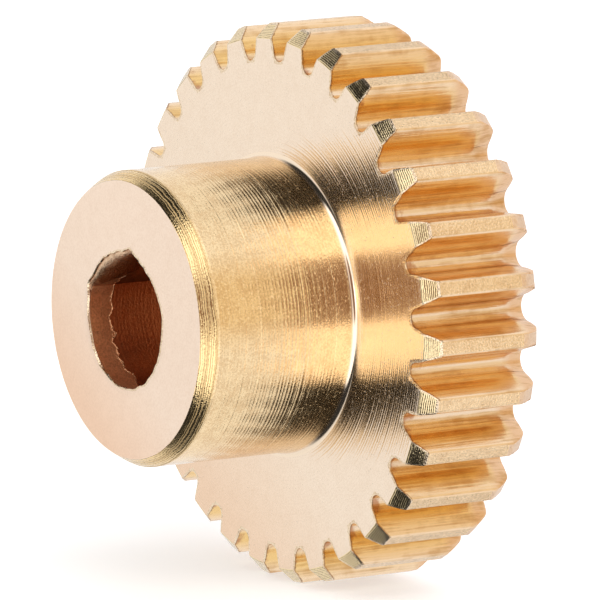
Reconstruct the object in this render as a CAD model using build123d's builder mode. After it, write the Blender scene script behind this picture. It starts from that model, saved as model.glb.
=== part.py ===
from build123d import *

import os
from math import cos, pi, radians, sin, tan

# A brass spur gear with an integral hub and a D-shaped bore, turned and hobbed from one bar.
# Millimetres. The gear's axis is the Y axis and the hub points to -Y. The origin is on the axis,
# half way along the teeth. The wheel stands on two teeth, with +Z up.

# Teeth
module = 0.5
teeth = 30
pressure_angle = radians(20)
tip_undersize = 0.05  # the blank is turned this much under the nominal tip radius
root_radius = 6.92

# Wheel and hub
face_width = 3.8
front_rim_chamfer_radial = 0.40
front_rim_chamfer_axial = 0.36
back_rim_chamfer_radial = 0.38
back_rim_chamfer_axial = 0.55
hub_radius = 4.18
hub_length = 5.0
hub_chamfer_radial = 0.25
hub_chamfer_axial = 0.42
hub_fillet = 0.15

# Bore
bore_radius = 2.0
flat_distance = 1.5  # from the axis to the flat, so the bore is 3.5 across the flat
mouth_radius = 2.06
mouth_half_angle = radians(30)

# Turn of the gear about its axis, from +X towards +Z: one tooth is centred over the flat
flat_angle = 120.0

# Worked out from the above
pitch_radius = module * teeth / 2
base_radius = pitch_radius * cos(pressure_angle)
tip_radius = pitch_radius + module - tip_undersize
back_y = face_width / 2
front_y = -face_width / 2
hub_end_y = front_y - hub_length
gap_angle = flat_angle + 180 / teeth

# Angle from a gap's centre line to the start of its flank, on the base circle
flank_start = pi / (2 * teeth) - (tan(pressure_angle) - pressure_angle)

# How far the gap cutter runs past the blank, outwards and at each end
overrun = 0.3


def flank_point(roll, side):
    """The involute flank of a gap centred on the local X axis, at this roll angle. side is 1 or -1."""
    turn = roll + flank_start
    x = base_radius * (cos(turn) + roll * sin(turn))
    y = base_radius * (sin(turn) - roll * cos(turn))
    return (x, side * y)


def valley_bottom(roll):
    """The lowest radius of the round valley that meets both flanks smoothly at this roll angle."""
    turn = roll + flank_start
    return base_radius * (1 / cos(turn) - tan(turn) + roll)


def valley_roll():
    """The roll angle where the flanks end in a round valley that reaches the root radius."""
    low, high = 0.0, tan(pressure_angle)
    while high - low > 1e-9:
        middle = (low + high) / 2
        if valley_bottom(middle) < root_radius:
            low = middle
        else:
            high = middle
    return high


def outer_roll():
    """The roll angle where the flank leaves the blank, with the overrun added."""
    return (((tip_radius + overrun) / base_radius) ** 2 - 1) ** 0.5


def flank(side, count=6):
    """Points along one flank, from the valley outwards."""
    first, last = valley_roll(), outer_roll()
    return [flank_point(first + (last - first) * i / (count - 1), side) for i in range(count)]


# The gap between two teeth, in its own plane: a round valley between two involute flanks
with BuildSketch() as tooth_gap:
    with BuildLine():
        upper = Spline(*flank(1))
        lower = Spline(*flank(-1))
        ThreePointArc(upper @ 0, (root_radius, 0), lower @ 0)
        Line(upper @ 1, lower @ 1)
    make_face()

# The D outline of the bore: a circle with a flat towards flat_angle
with BuildSketch() as d_outline:
    Circle(bore_radius)
    with PolarLocations(flat_distance + bore_radius / 2, 1, start_angle=flat_angle):
        Rectangle(bore_radius, 2 * bore_radius, mode=Mode.SUBTRACT)

with BuildPart() as spur_gear:
    # Turned blank: wheel with a chamfered rim, and the hub on its front
    with BuildSketch(Plane.XY) as half_section:
        with BuildLine():
            Polyline(
                (0, back_y),
                (tip_radius - back_rim_chamfer_radial, back_y),
                (tip_radius, back_y - back_rim_chamfer_axial),
                (tip_radius, front_y + front_rim_chamfer_axial),
                (tip_radius - front_rim_chamfer_radial, front_y),
                (hub_radius, front_y),
                (hub_radius, hub_end_y + hub_chamfer_axial),
                (hub_radius - hub_chamfer_radial, hub_end_y),
                (0, hub_end_y),
                close=True,
            )
        make_face()
        corner = half_section.vertices().sort_by_distance((hub_radius, front_y, 0))[0]
        fillet(corner, radius=hub_fillet)
    revolve(axis=Axis.Y)

    # Hobbed teeth
    with BuildSketch(Plane.XZ.offset(-back_y - overrun)):
        with PolarLocations(0, teeth, start_angle=gap_angle):
            add(tooth_gap.sketch)
    extrude(amount=face_width + 2 * overrun, mode=Mode.SUBTRACT)

    # D bore, right through
    with BuildSketch(Plane.XZ.offset(-back_y)):
        add(d_outline.sketch)
    extrude(amount=face_width + hub_length, mode=Mode.SUBTRACT)

    # A centre-drilled mouth at each end of the bore
    for end_y, inwards in ((hub_end_y, 1), (back_y, -1)):
        apex_y = end_y + inwards * mouth_radius / tan(mouth_half_angle)
        with BuildSketch(Plane.XY):
            with BuildLine():
                Polyline((0, end_y), (mouth_radius, end_y), (0, apex_y), close=True)
            make_face()
        revolve(axis=Axis.Y, mode=Mode.SUBTRACT)

spur_gear.part.label = "spur_gear"
os.makedirs("parts", exist_ok=True)
export_step(spur_gear.part, "parts/spur_gear.step")
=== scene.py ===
"""The looks of the brass spur gear: one detailed mesh, in place of its CAD solid."""

import math

import bmesh
import bpy
import numpy as np
from mathutils import Matrix, Vector


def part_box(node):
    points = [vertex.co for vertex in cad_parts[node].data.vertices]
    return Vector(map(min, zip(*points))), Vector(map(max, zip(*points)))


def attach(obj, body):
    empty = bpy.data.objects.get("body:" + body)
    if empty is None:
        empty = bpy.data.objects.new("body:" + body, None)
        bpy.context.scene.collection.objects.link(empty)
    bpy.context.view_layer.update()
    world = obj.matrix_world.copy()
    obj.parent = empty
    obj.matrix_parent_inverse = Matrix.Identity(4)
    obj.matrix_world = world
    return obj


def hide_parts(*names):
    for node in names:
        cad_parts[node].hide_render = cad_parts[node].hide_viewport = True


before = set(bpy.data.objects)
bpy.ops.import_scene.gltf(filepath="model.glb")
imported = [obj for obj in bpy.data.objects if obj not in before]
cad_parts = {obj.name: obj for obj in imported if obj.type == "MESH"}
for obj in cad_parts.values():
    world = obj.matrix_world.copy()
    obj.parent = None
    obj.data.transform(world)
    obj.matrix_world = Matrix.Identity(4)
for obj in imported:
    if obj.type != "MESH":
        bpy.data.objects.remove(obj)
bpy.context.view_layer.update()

MM = 0.001

# ---------------------------------------------------------------- sizes, in millimetres

TEETH = 30
PITCH_R = 7.5
PRESSURE = math.radians(20)
ROOT_R = 6.92
TIP_R = 7.95
FRONT_Y, BACK_Y, HUB_END_Y = -1.9, 1.9, -6.9
FRONT_RIM_R, FRONT_RIM_Y = 0.40, 0.36
BACK_RIM_Y = 0.55
HUB_R, HUB_CHAMFER_R, HUB_CHAMFER_Y, FILLET = 4.18, 0.25, 0.42, 0.15
BORE_R, FLAT, MOUTH_R = 2.0, 1.5, 2.06
MOUTH_SLOPE = 1 / math.tan(math.radians(30))
FLAT_ANGLE = math.radians(120)
EDGE = 0.03  # the broken edges of the teeth

# Worked out from the above
BASE_R = PITCH_R * math.cos(PRESSURE)
FLANK_START = math.pi / (2 * TEETH) - (math.tan(PRESSURE) - PRESSURE)
HALF_TOOTH = math.pi / TEETH

# The points along half a tooth: in the round valley, at these radii up the flank, and along the tip
VALLEY_POINTS = 6
FLANK_RADII = (7.12, 7.24, 7.36, 7.48, 7.55, 7.63, 7.72, 7.81, 7.87, TIP_R - EDGE)
TIP_POINTS = 4

# ---------------------------------------------------------------- the toothed outline


def involute(roll):
    turn = roll + FLANK_START
    x = BASE_R * (math.cos(turn) + roll * math.sin(turn))
    y = BASE_R * (math.sin(turn) - roll * math.cos(turn))
    return x, y


def involute_at(radius):
    return involute(math.sqrt((radius / BASE_R) ** 2 - 1))


def valley_roll():
    """The roll angle where the flanks end in a round valley that reaches the root radius."""
    low, high = 0.0, math.tan(PRESSURE)
    for _ in range(40):
        roll = (low + high) / 2
        turn = roll + FLANK_START
        if BASE_R * (1 / math.cos(turn) - math.tan(turn) + roll) < ROOT_R:
            low = roll
        else:
            high = roll
    return high


def half_pitch():
    """Radius and angle of points from the middle of a gap to just before the middle of a tooth."""
    roll = valley_roll()
    turn = roll + FLANK_START
    centre = BASE_R / math.cos(turn)
    radius = BASE_R * (math.tan(turn) - roll)
    start = involute(roll)
    sweep = math.atan2(start[1], start[0] - centre)
    points = []
    for i in range(VALLEY_POINTS):
        angle = math.pi + (sweep - math.pi) * i / VALLEY_POINTS
        points.append((centre + radius * math.cos(angle), radius * math.sin(angle)))
    points.append(start)
    points += [involute_at(r) for r in FLANK_RADII]
    polar = [(math.hypot(x, y), math.atan2(y, x)) for x, y in points]
    corner = involute_at(TIP_R)
    first = math.atan2(corner[1], corner[0]) + EDGE / TIP_R
    for i in range(TIP_POINTS):
        polar.append((TIP_R, first + (HALF_TOOTH - first) * i / TIP_POINTS))
    return polar


def wheel_outline():
    """The toothed outline from +X towards +Z, as x and z, and its outward normals."""
    half = half_pitch()
    one = half + [(TIP_R, HALF_TOOTH)]
    one += [(r, 2 * HALF_TOOTH - angle) for r, angle in reversed(half[1:])]
    polar = np.array(
        [(r, a + FLAT_ANGLE + (2 * k + 1) * HALF_TOOTH) for k in range(TEETH) for r, a in one]
    )
    at = np.stack([polar[:, 0] * np.cos(polar[:, 1]), polar[:, 0] * np.sin(polar[:, 1])], axis=1)
    along = np.roll(at, -1, axis=0) - np.roll(at, 1, axis=0)
    along /= np.linalg.norm(along, axis=1, keepdims=True)
    return at, np.stack([along[:, 1], -along[:, 0]], axis=1)


def radius_and_angle(at):
    return np.linalg.norm(at, axis=1), np.arctan2(at[:, 1], at[:, 0])


OUTLINE, NORMALS = wheel_outline()
OUTLINE_R, OUTLINE_ANGLE = radius_and_angle(OUTLINE)
COUNT = len(OUTLINE)
PER_TOOTH = COUNT // TEETH
CREST = PER_TOOTH // 2  # the point in the middle of a tooth
EVEN = FLAT_ANGLE + HALF_TOOTH + np.arange(COUNT) * 2 * math.pi / COUNT


def moved_in(distance):
    """Radius and angle of the toothed outline moved inwards, with no point past its neighbours' angles."""
    radius, angle = radius_and_angle(OUTLINE - NORMALS * distance)
    angle = np.unwrap(angle).reshape(TEETH, PER_TOOTH)
    rising = np.minimum.accumulate(angle[:, CREST::-1], axis=1)[:, ::-1]
    falling = np.maximum.accumulate(angle[:, CREST:], axis=1)
    return radius, np.concatenate([rising[:, :-1], falling], axis=1).ravel()


def angles_from(angles, middle):
    """How far each angle is from middle, from minus to plus half a turn."""
    return (angles - middle + math.pi) % (2 * math.pi) - math.pi


def d_outline():
    """Radius and angle of the D of the bore: even angles, the two nearest its corners moved onto them."""
    half = math.acos(FLAT / BORE_R)
    angles = EVEN.copy()
    for corner in (FLAT_ANGLE - half, FLAT_ANGLE + half):
        off = angles_from(angles, corner)
        nearest = int(np.argmin(abs(off)))
        angles[nearest] -= off[nearest]
    off = angles_from(angles, FLAT_ANGLE)
    return np.where(abs(off) < half, FLAT / np.cos(off), BORE_R), angles


D_R, D_ANGLE = d_outline()
INSET_R, INSET_ANGLE = moved_in(EDGE)


def uneven(seed, size, depth):
    """Smooth random values round a ring, with bumps about size points wide, within depth of nought."""
    random = np.random.default_rng(seed).normal(size=COUNT)
    window = np.hanning(size + 2)[1:-1]
    wrapped = np.concatenate([random[-size:], random, random[:size]])
    smooth = np.convolve(wrapped, window, "same")[size:-size]
    return np.clip(smooth / smooth.std(), -2, 2) * depth / 2


# ---------------------------------------------------------------- the mesh: closed rings, one after another

FACE, CHAMFER, HUB, FLANK, TIP, BORE, BACK_RIM, HUB_END, FILLETED, BURR, TOOTH_CHAMFER, MOUTH = range(12)

# How far the countersunk mouths reach in, at each point round the D
MOUTH_DEPTH = (MOUTH_R - D_R) * MOUTH_SLOPE

# The lip that the drill pushed up round the hub's mouth: its usual radius, how far under the end face the
# mouth meets it, and its two bulges and one hollow, as middle and width in degrees, and reach outwards
LIP_R = 1.935
LIP_DEPTH = 0.03
LIP_BULGES = ((84, 7, 0.10), (160, 8, 0.13), (45, 22, -0.06))

# Radius, distance from the back face and inset from the tooth sides, over the rounded back rim
BACK_RIM_PROFILE = (
    (7.95, 0.60, 0.0), (7.94, 0.55, 0.012), (7.85, 0.40, 0.035), (7.75, 0.24, 0.06),
    (7.66, 0.11, 0.08), (7.60, 0.05, 0.10), (7.53, 0.01, 0.12), (7.45, 0.0, 0.15),
)

rings = []
zones = []


def ring(r, angle, y, zone, clip=None):
    """One ring of points. zone is the surface from the last ring to this one.
    Where clip holds, the point is the last ring's."""
    r, angle, y = (np.broadcast_to(v, (COUNT,)) for v in (r, angle, y))
    rings.append((np.stack([r * np.cos(angle), y, r * np.sin(angle)], axis=1), clip))
    zones.append(zone)


def round_ring(r, y, zone):
    ring(r, EVEN, y, zone)


def clipped_ring(r, inset_r, inset_angle, y, zone):
    """A ring of one face of the wheel, which stops where it meets the inset outline."""
    ring(np.minimum(r, inset_r), inset_angle, y, zone, clip=inset_r < r - 1e-6)


def outline_ring(y, zone):
    ring(OUTLINE_R, OUTLINE_ANGLE, y, zone)


def front_edge(r):
    """The front of the wheel at this radius: flat, then chamfered towards the tips."""
    return FRONT_Y + np.maximum(0, r - (TIP_R - FRONT_RIM_R)) * FRONT_RIM_Y / FRONT_RIM_R


def mouth_and_lip():
    """From the bore out to the hub's end face."""
    crest = LIP_R + uneven(1, 40, 0.025) + uneven(2, 130, 0.03)
    for degrees, width, out in LIP_BULGES:
        off = (np.degrees(D_ANGLE) - degrees + 180) % 360 - 180
        crest += out * np.exp(-((off / width) ** 2))
    inner_y = HUB_END_Y + MOUTH_DEPTH
    ring(D_R, D_ANGLE, inner_y, BORE)
    for share in (0.8, 0.6, 0.4, 0.2, 0.0):
        depth = LIP_DEPTH + (inner_y - HUB_END_Y - LIP_DEPTH) * share ** 2.5
        ring(crest + (D_R - crest) * share, D_ANGLE, HUB_END_Y + depth, MOUTH)
    ring(crest + 0.012, D_ANGLE, HUB_END_Y - 0.008 + uneven(4, 24, 0.010), BURR)
    ring(crest + 0.028, D_ANGLE, HUB_END_Y - 0.024, BURR)
    ring(crest + 0.075, D_ANGLE, HUB_END_Y - 0.002, BURR)


def hub():
    """The hub's end face, its chamfer, its side and the fillet onto the wheel."""
    for r in (2.24, 2.5, 2.9, 3.4, 3.85):
        round_ring(r, HUB_END_Y, HUB_END)
    chamfer_in = HUB_R - HUB_CHAMFER_R
    round_ring(chamfer_in - 0.012, HUB_END_Y, HUB_END)
    for share in (0.25, 0.5, 0.75):
        round_ring(chamfer_in + HUB_CHAMFER_R * share, HUB_END_Y + HUB_CHAMFER_Y * share, CHAMFER)
    round_ring(HUB_R, HUB_END_Y + HUB_CHAMFER_Y + 0.012, CHAMFER)
    for y in (-6.4, -5.6, -4.8, -4.0, -3.2, -2.4):
        round_ring(HUB_R, y, HUB)
    for i in range(6):
        turn = math.pi / 2 * i / 5
        y = FRONT_Y - FILLET * (1 - math.sin(turn))
        round_ring(HUB_R + FILLET * (1 - math.cos(turn)), y, FILLETED if i else HUB)


def wheel_front():
    for r in (4.36, 4.5, 4.9, 5.4):
        round_ring(r, FRONT_Y, FACE)
    for r in (5.9, 6.4, 6.75, 6.86):
        ring(r, INSET_ANGLE, FRONT_Y, FACE)
    for r in (7.0, 7.2, 7.4, 7.53):
        clipped_ring(r, INSET_R, INSET_ANGLE, front_edge(np.minimum(r, INSET_R)), FACE)
    for r in (7.555, 7.62, 7.7, 7.78, 7.85, 7.9, 8.0):
        clipped_ring(r, INSET_R, INSET_ANGLE, front_edge(np.minimum(r, INSET_R)), TOOTH_CHAMFER)


def teeth():
    """The burr on the front edge, the sides and tips of the teeth, and the rounded back rim."""
    front = front_edge(OUTLINE_R)
    burr = uneven(5, 8, 0.018)
    burr_r, burr_angle = radius_and_angle(OUTLINE + NORMALS * (0.004 + burr[:, None] * 0.6))
    ring(burr_r, burr_angle, front + EDGE * 0.2 + burr, BURR)
    outline_ring(front + EDGE * 0.9 + uneven(6, 8, 0.015), BURR)
    flank_end = BACK_Y - BACK_RIM_Y - 0.15
    for share in (0.025, 0.2, 0.4, 0.6, 0.8, 1.0):
        outline_ring(front + (flank_end - front) * share, FLANK)
    for r, y, inset in BACK_RIM_PROFILE:
        inset_r, inset_angle = moved_in(inset)
        inset_r = np.minimum(inset_r, r)
        ring(inset_r, inset_angle, BACK_Y - y, BACK_RIM)
    return inset_r, inset_angle


def wheel_back(inset_r, inset_angle):
    """The back face, from the rim inwards, and the bore."""
    for r in (7.4, 7.2, 7.0):
        clipped_ring(r, inset_r, inset_angle, BACK_Y, FACE)
    for r in (6.78, 6.2, 5.4):
        ring(r, inset_angle, BACK_Y, FACE)
    for r in (4.6, 3.8, 3.0, 2.3, MOUTH_R + 0.01):
        round_ring(r, BACK_Y, FACE)
    ring(MOUTH_R - 0.01, D_ANGLE, BACK_Y - 0.012, BORE)
    back_y, front_y = BACK_Y - MOUTH_DEPTH, HUB_END_Y + MOUTH_DEPTH
    for share in (0.0, 0.06, 0.3, 0.6, 0.94):
        ring(D_R, D_ANGLE, back_y + (front_y - back_y) * share, BORE)


def numbered_points():
    """All the rings' points in one list, and each ring's numbers into it."""
    numbers = []
    for k, (_, clip) in enumerate(rings):
        number = np.arange(k * COUNT, (k + 1) * COUNT)
        numbers.append(number if clip is None else np.where(clip, numbers[-1], number))
    return np.concatenate([at for at, _ in rings]), numbers


def ring_faces(points, numbers):
    """The faces between each ring and the one before it, and the surface that each belongs to."""
    radii = np.hypot(points[:, 0], points[:, 2]).tolist()
    on_tip = (OUTLINE_R > TIP_R - 0.001) & (np.roll(OUTLINE_R, -1) > TIP_R - 0.001)
    faces, slots = [], []
    for k, zone in enumerate(zones):
        a, b = numbers[k - 1], numbers[k]
        around = zip(a.tolist(), np.roll(a, -1).tolist(), np.roll(b, -1).tolist(), b.tolist())
        for corners, tip in zip(around, on_tip):
            face = list(dict.fromkeys(corners))
            if len(face) < 3:
                continue
            slot = zone
            if zone == FLANK and tip:
                slot = TIP
            if zone == BACK_RIM and not (tip and max(radii[c] for c in face) > PITCH_R):
                slot = FLANK
            faces.append(face)
            slots.append(slot)
    return faces, slots


def gear_mesh():
    points, numbers = numbered_points()
    faces, slots = ring_faces(points, numbers)
    used = np.unique(np.concatenate([np.array(f) for f in faces]))
    new = np.full(len(points), -1)
    new[used] = np.arange(len(used))
    mesh = bpy.data.meshes.new("gear_surface")
    mesh.from_pydata((points[used] * MM).tolist(), [], [[int(new[i]) for i in f] for f in faces])
    mesh.polygons.foreach_set("material_index", slots)
    mesh.polygons.foreach_set("use_smooth", [True] * len(slots))
    clean = bmesh.new()
    clean.from_mesh(mesh)
    bmesh.ops.remove_doubles(clean, verts=clean.verts, dist=1e-8)
    bmesh.ops.dissolve_degenerate(clean, edges=clean.edges, dist=1e-8)
    clean.to_mesh(mesh)
    clean.free()
    mesh.validate()
    return mesh


mouth_and_lip()
hub()
wheel_front()
wheel_back(*teeth())
mesh = gear_mesh()

# ---------------------------------------------------------------- nodes


class Nodes:
    """Short ways to add nodes to one material or world."""

    def __init__(self, tree):
        self.tree = tree
        self.tree.nodes.clear()

    def add(self, kind, values=None, **settings):
        node = self.tree.nodes.new(kind)
        for name, value in settings.items():
            setattr(node, name, value)
        for socket, value in (values or {}).items():
            self.put(node.inputs[socket], value)
        return node

    def put(self, socket, value):
        if isinstance(value, bpy.types.NodeSocket):
            self.tree.links.new(value, socket)
        else:
            socket.default_value = value

    def math(self, operation, *values):
        node = self.add("ShaderNodeMath", operation=operation)
        for i, value in enumerate(values):
            self.put(node.inputs[i], value)
        return node.outputs[0]

    def total(self, *terms):
        """The sum of values, each times its weight."""
        parts = [self.math("MULTIPLY", value, weight) for value, weight in terms]
        whole = parts[0]
        for part in parts[1:]:
            whole = self.math("ADD", whole, part)
        return whole

    def mix(self, factor, a, b):
        node = self.add("ShaderNodeMix", data_type="RGBA")
        self.put(node.inputs["Factor"], factor)
        self.put(node.inputs[6], a)
        self.put(node.inputs[7], b)
        return node.outputs[2]

    def span(self, value, low, high, to_low=0.0, to_high=1.0):
        """to_low where value is low or less, to_high where it is high or more, and in between, in between."""
        node = self.add("ShaderNodeMapRange")
        for i, v in enumerate((value, low, high, to_low, to_high)):
            self.put(node.inputs[i], v)
        return node.outputs[0]

    def span_mm(self, value, low, high, to_low=0.0, to_high=1.0):
        return self.span(value, low * MM, high * MM, to_low, to_high)

    def toward(self, direction, way):
        """The cosine of the angle between direction and way."""
        node = self.add("ShaderNodeVectorMath", {0: direction, 1: way}, operation="DOT_PRODUCT")
        return node.outputs["Value"]

    def cone(self, cosine, full, none):
        """1 where cosine is that of an angle within full degrees, and 0 where it is beyond none degrees."""
        return self.span(cosine, math.cos(math.radians(none)), math.cos(math.radians(full)))


# ---------------------------------------------------------------- brass

# Noise scales are in features per metre, so grains are about 0.06 mm across and clouds 0.4 mm
GRAIN_SCALE, CLOUD_SCALE = 17000.0, 2500.0
NOISE_DETAIL = 3.0
EVENLY = (1.0, 1.0, 1.0)


def scaled(colour, red, green, blue):
    return (colour[0] * red, colour[1] * green, colour[2] * blue, 1.0)


class Brass(Nodes):
    """The nodes of one machined surface. Its colour is mixed from the clean colour and a darker one: random
    mottling, and on chamfers painted shade in the grooves of the tool marks.
    marks is the height of the tool marks, in units of their depth."""

    def __init__(self, tree, colour, roughness):
        super().__init__(tree)
        self.place = self.add("ShaderNodeTexCoord").outputs["Object"]
        xyz = self.add("ShaderNodeSeparateXYZ", {0: self.place}).outputs
        self.x, self.y, self.z = xyz[0], xyz[1], xyz[2]
        flat = self.add("ShaderNodeCombineXYZ", {0: self.x, 2: self.z}).outputs[0]
        self.radius = self.add("ShaderNodeVectorMath", {0: flat}, operation="LENGTH").outputs["Value"]
        self.grains = self.noise(EVENLY, GRAIN_SCALE)
        self.clouds = self.noise(EVENLY, CLOUD_SCALE)
        self.colour = colour
        self.clean = (*colour, 1.0)
        self.shadow = scaled(colour, 0.62, 0.48, 0.36)
        self.roughness = roughness
        self.marks = self.mottle_and_groove_shade_mask = None

    def noise(self, stretch, scale):
        vector = self.add("ShaderNodeVectorMath", {0: self.place, 1: stretch}, operation="MULTIPLY")
        values = {"Vector": vector.outputs[0], "Scale": scale, "Detail": NOISE_DETAIL}
        return self.add("ShaderNodeTexNoise", values).outputs[0]

    def line_noise(self, along, scale):
        values = {"W": along, "Scale": scale, "Detail": NOISE_DETAIL}
        return self.add("ShaderNodeTexNoise", values, noise_dimensions="1D").outputs[0]

    def waves(self, along, per_metre):
        return self.math("SINE", self.math("MULTIPLY", along, 2 * math.pi * per_metre))

    def across_the_lathe(self, waver):
        """A distance that grows across marks that run round the axis. waver is how far they stray, in mm."""
        return self.total((self.radius, 1.0), (self.y, 0.83), (self.clouds, waver * MM))

    def tint(self, share, colour):
        """Mixes colour into the clean colour, where share is 1."""
        self.clean = self.mix(share, self.clean, (*colour, 1.0))


def hobbed(b):
    """Marks that run along the teeth."""
    b.marks = b.noise((1.0, 0.03, 1.0), 14000.0)
    streaks = b.noise((1.0, 0.12, 1.0), 3500.0)
    b.mottle_and_groove_shade_mask = b.span(b.total((streaks, 0.38), (b.marks, 0.37), (b.clouds, 0.25)), 0.38, 0.52)


def turned(b, low=0.3, high=0.6):
    """Fine marks that run round the axis. low and high set how sharply the colour is mottled."""
    along = b.across_the_lathe(0.01)
    b.marks = b.total((b.line_noise(along, 11000.0), 0.7), (b.grains, 0.1), (b.waves(along, 10600), 0.09))
    b.mottle_and_groove_shade_mask = b.span(b.total((b.grains, 0.7), (b.clouds, 0.3)), low, high)


def turned_hub(b):
    turned(b, 0.43, 0.56)


def chamfered(b, wave_weight, rough_weight, middle):
    """Coarser marks round the axis, whose grooves are also painted dark, as painted shade. Returns their
    random part.
    """
    along = b.across_the_lathe(0.12)
    rough = b.line_noise(along, 16000.0)
    wave = b.waves(along, 13500)
    # Painted shade: the grooves of the marks are painted much darker than the clean colour
    b.shadow = scaled(b.colour, 0.30, 0.22, 0.16)
    b.marks = b.total((wave, wave_weight), (b.grains, 0.9), (rough, rough_weight))
    b.mottle_and_groove_shade_mask = b.span(b.marks, middle - 0.35, middle - 0.05)
    return rough


def hub_chamfer(b):
    rough = chamfered(b, 0.24, 1.1, 1.0)
    # Some of the lines are torn, so they catch light from all sides
    b.roughness = b.span(rough, 0.53, 0.58, b.roughness, 0.6)


def tooth_chamfer(b):
    chamfered(b, 0.35, 0.3, 0.6)


def flank_colours(b):
    # Painted highlight: the valleys are painted paler than the flanks, where they catch the light. The flanks
    # are paler near the tips too.
    b.clean = b.mix(b.span_mm(b.radius, 6.98, 7.18), (0.93, 0.72, 0.50, 1.0), b.clean)
    b.tint(b.span_mm(b.radius, 7.45, 7.85), (0.95, 0.715, 0.465))
    b.tint(b.span_mm(b.y, 1.15, 1.5), (0.84, 0.54, 0.31))
    # Torn, stained patches, mostly at the front ends of the valleys
    torn = b.math("ADD", b.span_mm(b.y, -1.9, -1.1, 0.30, 0.0), b.span_mm(b.radius, 6.9, 7.4, 0.12, 0.0))
    b.tint(b.span(b.math("ADD", torn, b.clouds), 0.82, 0.98, 0.0, 0.8), (0.50, 0.22, 0.10))
    # Painted shadow: a broken dark line behind the burr on the front edge, where the burr shades the flank
    over_rim = b.math("MAXIMUM", b.math("SUBTRACT", b.radius, (TIP_R - FRONT_RIM_R) * MM), 0.0)
    behind_front = b.math("ADD", b.y, -FRONT_Y * MM)
    behind_front = b.math("SUBTRACT", behind_front, b.math("MULTIPLY", over_rim, FRONT_RIM_Y / FRONT_RIM_R))
    shaded = b.math("ADD", b.span_mm(behind_front, 0.02, 0.11, 0.55, 0.0), b.math("MULTIPLY", b.grains, 0.8))
    b.tint(b.span(shaded, 0.62, 0.85, 0.0, 0.9), (0.30, 0.16, 0.08))


def bore_colours(b):
    # A torn, rougher band just inside the hub's mouth, with a bright edge. It is painted lighter than the
    # bore deeper in: painted light near the opening, painted shade further in.
    depth = b.math("ADD", b.y, b.math("MULTIPLY", b.clouds, 0.9 * MM))
    inner = b.span_mm(depth, -5.73, -5.67)
    b.clean = b.mix(inner, (0.97, 0.52, 0.27, 1.0), b.clean)
    b.marks = b.math("ADD", b.marks, b.math("MULTIPLY", inner, 6.0))
    b.roughness = b.span_mm(depth, -5.73, -5.67, 0.55, b.roughness)
    # The flat is paler than the round wall
    b.clean = b.mix(b.span_mm(b.radius, 1.92, 1.99), (0.85, 0.60, 0.40, 1.0), b.clean)


def mouth_colours(b):
    # Pale at the face, then torn and painted darker deeper in, towards the flat, as painted shade. It is also
    # painted darker, as shade, out past 1.94 mm, under the lip.
    depth = b.math("ADD", b.y, b.math("MULTIPLY", b.clouds, 1.0 * MM))
    b.tint(b.span_mm(depth, -6.32, -6.12), (0.46, 0.27, 0.16))
    b.tint(b.span_mm(b.radius, 1.90, 1.94), (0.66, 0.40, 0.25))


def low_side_shade(b, start, full):
    """Painted shade: a flat face is painted a little darker and warmer low on one side, from start to full mm
    off its middle.
    """
    low = b.total((b.z, -0.9), (b.x, -0.6))
    b.clean = b.mix(b.span_mm(low, start, full), b.clean, scaled(b.colour, 0.95, 0.84, 0.76))


def pits(b):
    b.marks = b.math("ADD", b.marks, b.span(b.grains, 0.66, 0.72, 0.0, 0.3))


def face_colours(b):
    low_side_shade(b, 3.0, 7.5)
    pits(b)


def hub_end_colours(b):
    low_side_shade(b, 0.8, 3.8)


def brass(name, colour, roughness, anisotropic, machined, lines, grain, mottle_and_groove_shade_strength, extra=None):
    """Machined brass. lines and grain are the depths of the tool marks and of a fine random texture, in mm.
    spots is how strongly the colour is mottled and, on chamfers, how dark the grooves are painted, as painted
    shade."""
    material = bpy.data.materials.new(name)
    material.use_nodes = True
    b = Brass(material.node_tree, colour, roughness)
    machined(b)
    if extra:
        extra(b)
    mottle_and_groove_shade_mask = b.math("ADD", b.math("MULTIPLY", b.mottle_and_groove_shade_mask, mottle_and_groove_shade_strength), 1 - mottle_and_groove_shade_strength)
    bump = b.add("ShaderNodeBump", {"Height": b.marks, "Strength": 1.0, "Distance": lines * MM})
    if grain:
        values = {"Height": b.grains, "Strength": 1.0, "Distance": grain * MM, "Normal": bump.outputs[0]}
        bump = b.add("ShaderNodeBump", values)
    tangent = b.add("ShaderNodeTangent", direction_type="RADIAL", axis="Y")
    values = {
        "Base Color": b.mix(mottle_and_groove_shade_mask, b.shadow, b.clean),
        "Metallic": 1.0,
        "Roughness": b.roughness,
        "Anisotropic": anisotropic,
        "Anisotropic Rotation": 0.25,
        "Tangent": tangent.outputs[0],
        "Normal": bump.outputs[0],
    }
    shader = b.add("ShaderNodeBsdfPrincipled", values)
    b.add("ShaderNodeOutputMaterial", {"Surface": shader.outputs[0]})
    return material


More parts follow.
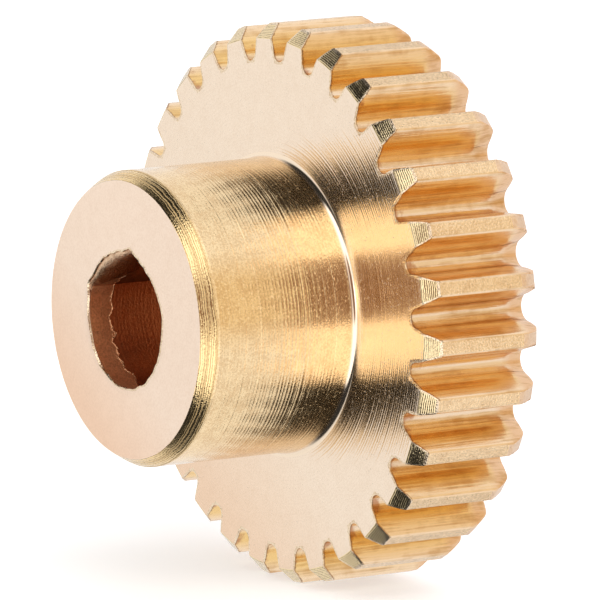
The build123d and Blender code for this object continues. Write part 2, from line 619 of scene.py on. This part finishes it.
# In the order of the zones: name, colour, roughness, anisotropic, machined, lines, grain, strength of the
# mottling and of the painted groove shade, extra
SURFACES = (
    ("turned_face", (0.92, 0.76, 0.60), 0.14, 0.9, turned, 0.013, 0.0008, 0.2, face_colours),
    ("chamfer", (0.93, 0.68, 0.345), 0.12, 0.5, hub_chamfer, 0.0062, 0.003, 0.70),
    ("hub", (0.96, 0.73, 0.42), 0.135, 0.9, turned_hub, 0.015, 0.0020, 0.45, pits),
    ("flank", (0.92, 0.62, 0.25), 0.26, 0.3, hobbed, 0.010, 0.002, 0.7, flank_colours),
    ("tip", (0.935, 0.695, 0.42), 0.26, 0.3, turned, 0.006, 0.030, 0.6),
    ("bore", (0.66, 0.34, 0.18), 0.32, 0.0, turned, 0.006, 0.010, 0.6, bore_colours),
    ("back_rim", (0.91, 0.66, 0.44), 0.28, 0.3, turned, 0.003, 0.028, 0.5),
    ("hub_end", (0.99, 0.80, 0.645), 0.40, 0.2, turned, 0.004, 0.012, 0.18, hub_end_colours),
    ("fillet", (0.93, 0.76, 0.58), 0.16, 0.6, turned, 0.002, 0.0, 0.0),
    ("burr", (0.90, 0.74, 0.54), 0.22, 0.0, turned, 0.004, 0.016, 0.8),
    ("tooth_chamfer", (0.86, 0.69, 0.41), 0.14, 0.4, tooth_chamfer, 0.0057, 0.0, 0.85),
    ("mouth", (0.95, 0.68, 0.46), 0.30, 0.0, turned, 0.006, 0.030, 0.7, mouth_colours),
)
for surface in SURFACES:
    mesh.materials.append(brass(*surface))
mesh.set_sharp_from_angle(angle=math.radians(35))

gear = bpy.data.objects.new("gear", mesh)
bpy.context.collection.objects.link(gear)
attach(gear, "root")
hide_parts("spur_gear")

# ---------------------------------------------------------------- floor

low_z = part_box("spur_gear")[0][2]
bpy.ops.mesh.primitive_circle_add(vertices=64, radius=3.0, fill_type="NGON", location=(0, 0, low_z))
floor = bpy.context.active_object
floor.name = "floor"
paper = bpy.data.materials.new("paper")
paper.use_nodes = True
n = Nodes(paper.node_tree)
shade = n.add("ShaderNodeBsdfDiffuse", {"Color": (0.9, 0.9, 0.9, 1.0)})
glow = n.add("ShaderNodeEmission", {"Color": (1.0, 1.0, 1.0, 1.0), "Strength": 0.5})
both = n.add("ShaderNodeAddShader", {0: shade.outputs[0], 1: glow.outputs[0]})
n.add("ShaderNodeOutputMaterial", {"Surface": both.outputs[0]})
floor.visible_glossy = False
floor.data.materials.append(paper)

# ---------------------------------------------------------------- light

# Bands of light round the gear's axis: degrees from +X towards +Z, and brightness
BANDS = (
    (-180, 1.02), (-120, 0.95), (-106, 0.04), (-56, 0.03), (-51, 1.7), (-10, 1.7), (-4, 1.2),
    (40, 1.2), (46, 1.7), (80, 1.7), (86, 0.03), (131, 0.03), (143, 1.02), (180, 1.02),
)
WORLD_STRENGTH = 2.0

# The dark spot is what the brass reflects of the photographer's camera, and the key is the brightest light
DARK_SPOT_WAY, DARK_SPOT_COLOUR = (0.801, -0.5386, 0.260), (0.14, 0.075, 0.045, 1)
KEY_WAY, KEY_COLOUR = (0.31, -0.949, 0.065), (1.6, 1.6, 1.55, 1)
AHEAD_COLOUR = (0.5, 0.5, 0.49, 1)
BEHIND_MIDDLE_COLOUR, BEHIND_COLOUR = (0.45, 0.38, 0.28, 1), (0.50, 0.50, 0.52, 1)
BEHIND_MIDDLE = 18.0  # degrees round the axis

world = bpy.data.worlds.new("studio")
bpy.context.scene.world = world
world.use_nodes = True
n = Nodes(world.node_tree)
direction = n.add("ShaderNodeTexCoord").outputs["Generated"]
way = n.add("ShaderNodeSeparateXYZ", {0: direction}).outputs
around = n.math("MULTIPLY", n.math("ARCTAN2", way[2], way[0]), 180 / math.pi)
ramp = n.add("ShaderNodeValToRGB", {0: n.span(around, -180, 180)})
elements = ramp.color_ramp.elements
while len(elements) < len(BANDS):
    elements.new(0.5)
for element, (angle, light) in zip(elements, BANDS):
    element.position = (angle + 180) / 360
    element.color = (light / WORLD_STRENGTH,) * 3 + (1,)
dark_spot = n.cone(n.toward(direction, DARK_SPOT_WAY), 21.5, 24.5)
ahead = n.cone(n.math("MULTIPLY", way[1], -1.0), 16, 22)
key = n.cone(n.toward(direction, KEY_WAY), 5, 8)
front_side = n.mix(dark_spot, ramp.outputs[0], DARK_SPOT_COLOUR)
front_side = n.mix(ahead, front_side, AHEAD_COLOUR)
front_side = n.mix(key, front_side, KEY_COLOUR)
off_middle = n.math("ABSOLUTE", n.math("SUBTRACT", around, BEHIND_MIDDLE))
behind = n.mix(n.span(off_middle, 15.0, 40.0), BEHIND_MIDDLE_COLOUR, BEHIND_COLOUR)
whole = n.mix(n.span(way[1], 0.08, 0.34), front_side, behind)
back = n.add("ShaderNodeBackground", {"Color": whole, "Strength": WORLD_STRENGTH})
n.add("ShaderNodeOutputWorld", {"Surface": back.outputs[0]})

# ---------------------------------------------------------------- camera

AZIMUTH, ELEVATION, ROLL = math.radians(56.8), math.radians(10.4), math.radians(0.83)
DISTANCE = 0.2794
AIM = Vector((-0.010, -1.05, 0.05)) * MM

flat_share = math.cos(ELEVATION)
away = Vector((math.sin(AZIMUTH) * flat_share, -math.cos(AZIMUTH) * flat_share, math.sin(ELEVATION)))
level = Vector((math.cos(AZIMUTH), math.sin(AZIMUTH), 0))
right = level * math.cos(ROLL) + away.cross(level) * math.sin(ROLL)
up = away.cross(right)
camera = bpy.data.objects.new("camera", bpy.data.cameras.new("camera"))
bpy.context.collection.objects.link(camera)
camera.data.sensor_width = 36
camera.data.lens = 592.6
camera.data.clip_start = 0.01
camera.data.clip_end = 20
rows = [(right[i], up[i], away[i], AIM[i] + away[i] * DISTANCE) for i in range(3)]
camera.matrix_world = Matrix(rows + [(0, 0, 0, 1)])
bpy.context.scene.camera = camera
bpy.context.scene.view_settings.view_transform = "Standard"
